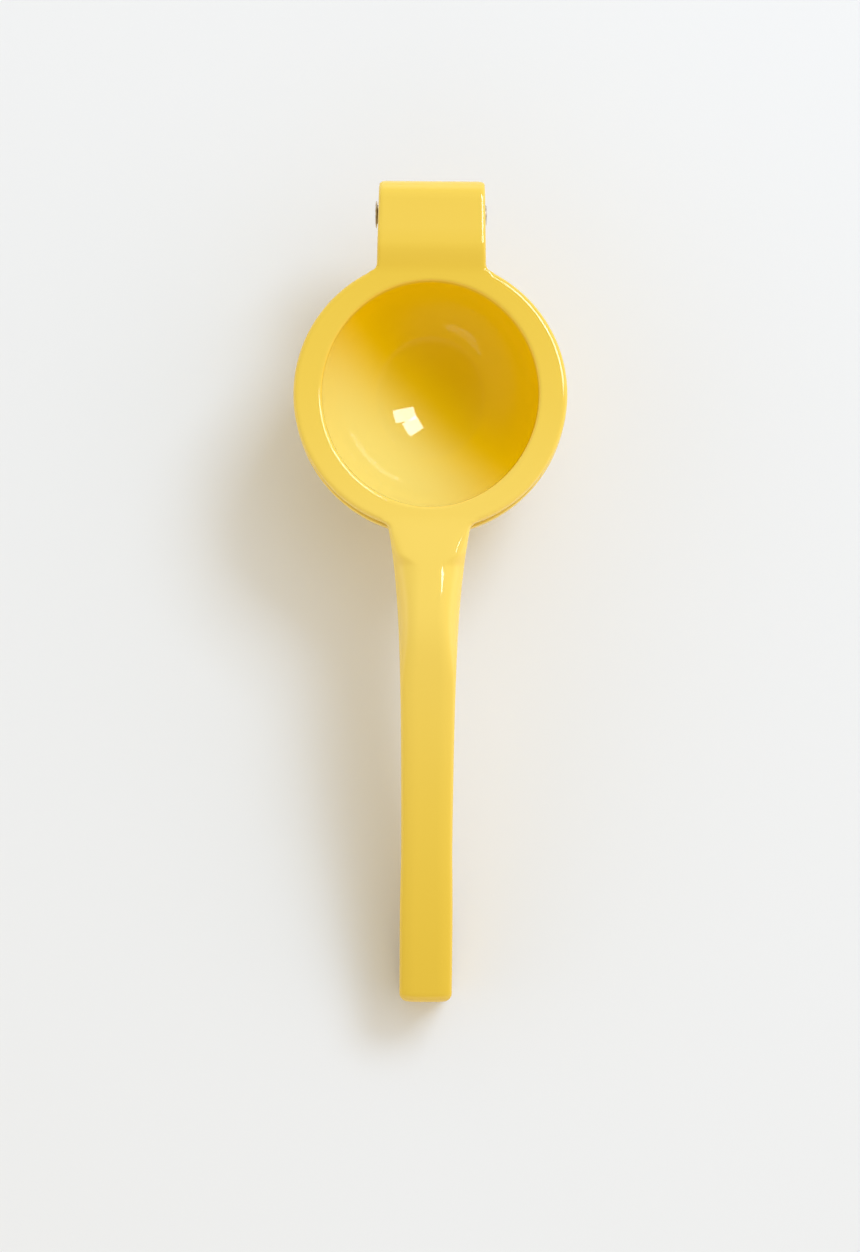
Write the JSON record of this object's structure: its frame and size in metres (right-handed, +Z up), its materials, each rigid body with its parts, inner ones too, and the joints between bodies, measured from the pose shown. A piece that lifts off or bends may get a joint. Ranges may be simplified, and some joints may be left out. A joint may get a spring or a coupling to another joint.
{
  "type": "hand citrus squeezer",
  "caption": "Hand citrus squeezer: a hollow dome that closes into a drained bowl, both on long curved handles, joined by a pinned hinge at the far end.",
  "frame": {"origin": "on the table under the middle of the bowl, at the centre of the bowl's flat foot", "axes": "+Z up; -Y along the handles towards their tips, +Y towards the hinge; X along the hinge pin. Stored closed."},
  "size_m": [0.0728, 0.2193, 0.0438],
  "materials": {
    "enamel": "gloss",
    "steel": "satin"
  },
  "bodies": {
    "lower_arm": {"bowl_arm": "enamel"},
    "upper_arm": {"press_arm": "enamel", "hinge_pin": "steel"}
  },
  "joints": [
    {"name": "hinge", "type": "hinge", "parent": "lower_arm", "child": "upper_arm", "pos_m": [0, 0.049, 0.03435], "axis": [-1, 0, 0], "range_deg": [0, 118]}
  ]
}
